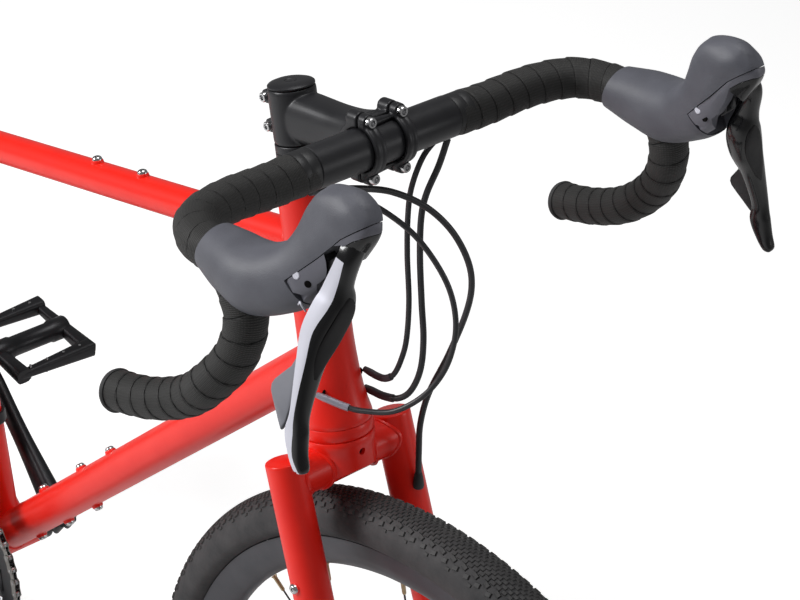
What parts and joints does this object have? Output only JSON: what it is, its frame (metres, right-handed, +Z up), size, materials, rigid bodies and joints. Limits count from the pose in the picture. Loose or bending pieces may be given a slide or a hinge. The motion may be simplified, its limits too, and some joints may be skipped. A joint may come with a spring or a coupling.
{
  "type": "bicycle",
  "caption": "Drop-bar trekking bicycle with a steel diamond frame, rigid fork with accessory bosses, disc brakes and wide all-road tyres.",
  "frame": {"origin": "on the ground, midway between the points where the two tyres touch it, in the plane of the wheels", "axes": "+Z up, +X forward along the bicycle, +Y to the rider's left"},
  "size_m": [1.76, 0.4702, 1.1009],
  "materials": {
    "orange_paint": "satin orange-red paint",
    "black_alloy": "black anodised, satin",
    "black_gloss": "glossy black",
    "bright_steel": "bare, fine brushed",
    "dark_steel": "dark, lightly oiled",
    "rubber": "matte black",
    "tyre_rubber": "matte black, block tread",
    "hood_rubber": "matte dark grey",
    "bar_tape": "matte, fine cross ribs",
    "cable_housing": "smooth black",
    "saddle_cover": "matte black cover over foam",
    "rim_alloy": "dark grey anodised"
  },
  "bodies": {
    "frame_body": {"frame": "orange_paint", "seatpost": "black_alloy", "seat_clamp": "black_alloy", "saddle_rails": "black_alloy", "saddle": "saddle_cover", "bottom_bracket": "black_alloy", "rear_axle": "black_alloy", "rear_caliper": "black_alloy", "chain": "dark_steel", "front_derailleur_clamp": "black_alloy", "rear_derailleur_knuckle": "black_alloy", "rear_shift_cable": "cable_housing", "rear_brake_hose": "cable_housing", "front_shift_cable": "cable_housing"},
    "steering": {"fork": "orange_paint", "headset_spacers": "black_alloy", "top_cap": "black_gloss", "stem": "black_alloy", "stem_faceplate": "black_alloy", "handlebar": "black_alloy", "bar_tape_right": "bar_tape", "bar_tape_left": "bar_tape", "bar_plug_right": "rubber", "bar_plug_left": "rubber", "hood_right": "hood_rubber", "hood_left": "hood_rubber", "bracket_right": "black_gloss", "bracket_left": "black_gloss", "front_axle": "black_alloy", "front_caliper": "black_alloy", "front_brake_hose": "cable_housing"},
    "front_wheel": {"front_tyre": "tyre_rubber", "front_rim": "rim_alloy", "front_hub": "black_alloy", "front_rotor": "bright_steel"},
    "rear_wheel": {"rear_tyre": "tyre_rubber", "rear_rim": "rim_alloy", "rear_hub": "black_alloy", "rear_rotor": "bright_steel"},
    "cassette_body": {"cassette": "bright_steel"},
    "crank_body": {"crank_right": "black_alloy", "crank_left": "black_alloy", "chainrings": "black_alloy"},
    "pedal_right_body": {"pedal_right": "black_alloy"},
    "pedal_left_body": {"pedal_left": "black_alloy"},
    "front_derailleur_body": {"front_derailleur_cage": "dark_steel"},
    "rear_derailleur_body": {"rear_derailleur_link": "black_alloy"},
    "derailleur_cage_body": {"derailleur_cage": "black_alloy"},
    "guide_wheel_body": {"guide_wheel": "rubber"},
    "tension_wheel_body": {"tension_wheel": "rubber"},
    "brake_lever_right": {"lever_carrier_right": "dark_steel"},
    "shift_blade_right": {"brake_blade_right": "black_gloss"},
    "release_paddle_right": {"shift_paddle_right": "hood_rubber"},
    "brake_lever_left": {"lever_carrier_left": "dark_steel"},
    "shift_blade_left": {"brake_blade_left": "black_gloss"},
    "release_paddle_left": {"shift_paddle_left": "hood_rubber"},
    "front_pad_inner_slide": {"front_pad_inner": "dark_steel"},
    "front_pad_outer_slide": {"front_pad_outer": "dark_steel"},
    "rear_pad_inner_slide": {"rear_pad_inner": "dark_steel"},
    "rear_pad_outer_slide": {"rear_pad_outer": "dark_steel"}
  },
  "joints": [
    {"name": "steering_turn", "type": "hinge", "parent": "frame_body", "child": "steering", "pos_m": [0.4794, 0, 0.33939], "axis": [-0.3239, 0, 0.9461], "range_deg": [-60, 60], "deforming": ["rear_shift_cable", "rear_brake_hose", "front_shift_cable"]},
    {"name": "front_wheel_spin", "type": "hinge", "parent": "steering", "child": "front_wheel", "pos_m": [0.525, 0, 0.355], "axis": [0, 1, 0], "continuous": true},
    {"name": "rear_wheel_spin", "type": "hinge", "parent": "frame_body", "child": "rear_wheel", "pos_m": [-0.525, 0, 0.355], "axis": [0, 1, 0], "continuous": true},
    {"name": "crank_spin", "type": "hinge", "parent": "frame_body", "child": "crank_body", "pos_m": [-0.092, 0, 0.295], "axis": [0, 1, 0], "continuous": true, "deforming": ["chain"]},
    {"name": "cassette_spin", "type": "hinge", "parent": "frame_body", "child": "cassette_body", "pos_m": [-0.525, 0, 0.355], "axis": [0, 1, 0], "continuous": true},
    {"name": "pedal_right_spin", "type": "hinge", "parent": "crank_body", "child": "pedal_right_body", "pos_m": [0.05429, -0.077, 0.20359], "axis": [0, 1, 0], "continuous": true},
    {"name": "pedal_left_spin", "type": "hinge", "parent": "crank_body", "child": "pedal_left_body", "pos_m": [-0.23829, 0.077, 0.38641], "axis": [0, 1, 0], "continuous": true},
    {"name": "front_derailleur_shift", "type": "slide", "parent": "frame_body", "child": "front_derailleur_body", "axis": [0, 1, 0], "range_m": [0, 0.007], "deforming": ["chain"]},
    {"name": "rear_derailleur_shift", "type": "slide", "parent": "frame_body", "child": "rear_derailleur_body", "axis": [0, 1, 0], "range_m": [-0.016, 0.012], "deforming": ["chain"]},
    {"name": "cage_swing", "type": "hinge", "parent": "rear_derailleur_body", "child": "derailleur_cage_body", "pos_m": [-0.513, -0.0504, 0.251], "axis": [0, 1, 0], "range_deg": [-25, 35], "deforming": ["chain"]},
    {"name": "guide_wheel_spin", "type": "hinge", "parent": "derailleur_cage_body", "child": "guide_wheel_body", "pos_m": [-0.513, -0.0504, 0.251], "axis": [0, 1, 0], "continuous": true},
    {"name": "tension_wheel_spin", "type": "hinge", "parent": "derailleur_cage_body", "child": "tension_wheel_body", "pos_m": [-0.47105, -0.0504, 0.18524], "axis": [0, 1, 0], "continuous": true},
    {"name": "brake_lever_right_pull", "type": "hinge", "parent": "steering", "child": "brake_lever_right", "pos_m": [0.4985, -0.189, 1.029], "axis": [0, 1, 0], "range_deg": [0, 12]},
    {"name": "shift_blade_right_push", "type": "hinge", "parent": "brake_lever_right", "child": "shift_blade_right", "pos_m": [0.5215, -0.1905, 1.037], "axis": [1, 0, 0], "range_deg": [0, 10]},
    {"name": "release_paddle_right_push", "type": "hinge", "parent": "brake_lever_right", "child": "release_paddle_right", "pos_m": [0.501, -0.201, 1.008], "axis": [1, 0, 0], "range_deg": [0, 10]},
    {"name": "brake_lever_left_pull", "type": "hinge", "parent": "steering", "child": "brake_lever_left", "pos_m": [0.4985, 0.189, 1.029], "axis": [0, 1, 0], "range_deg": [0, 12]},
    {"name": "shift_blade_left_push", "type": "hinge", "parent": "brake_lever_left", "child": "shift_blade_left", "pos_m": [0.5215, 0.1905, 1.037], "axis": [-1, 0, 0], "range_deg": [0, 10]},
    {"name": "release_paddle_left_push", "type": "hinge", "parent": "brake_lever_left", "child": "release_paddle_left", "pos_m": [0.501, 0.201, 1.008], "axis": [-1, 0, 0], "range_deg": [0, 10]},
    {"name": "front_pad_inner_press", "type": "slide", "parent": "steering", "child": "front_pad_inner_slide", "axis": [0, 1, 0], "range_m": [0, 0.0004]},
    {"name": "front_pad_outer_press", "type": "slide", "parent": "steering", "child": "front_pad_outer_slide", "axis": [0, -1, 0], "range_m": [0, 0.0004]},
    {"name": "rear_pad_inner_press", "type": "slide", "parent": "frame_body", "child": "rear_pad_inner_slide", "axis": [0, 1, 0], "range_m": [0, 0.0004]},
    {"name": "rear_pad_outer_press", "type": "slide", "parent": "frame_body", "child": "rear_pad_outer_slide", "axis": [0, -1, 0], "range_m": [0, 0.0004]}
  ],
  "couplings": [
    {"joint": "cassette_spin", "follows": "crank_spin", "ratio": 2.4211},
    {"joint": "guide_wheel_spin", "follows": "crank_spin", "ratio": -4.1818},
    {"joint": "tension_wheel_spin", "follows": "crank_spin", "ratio": 4.1818},
    {"joint": "front_pad_inner_press", "follows": "brake_lever_right_pull", "m_per_rad": 0.0019},
    {"joint": "front_pad_outer_press", "follows": "brake_lever_right_pull", "m_per_rad": 0.0019},
    {"joint": "rear_pad_inner_press", "follows": "brake_lever_left_pull", "m_per_rad": 0.0019},
    {"joint": "rear_pad_outer_press", "follows": "brake_lever_left_pull", "m_per_rad": 0.0019}
  ]
}
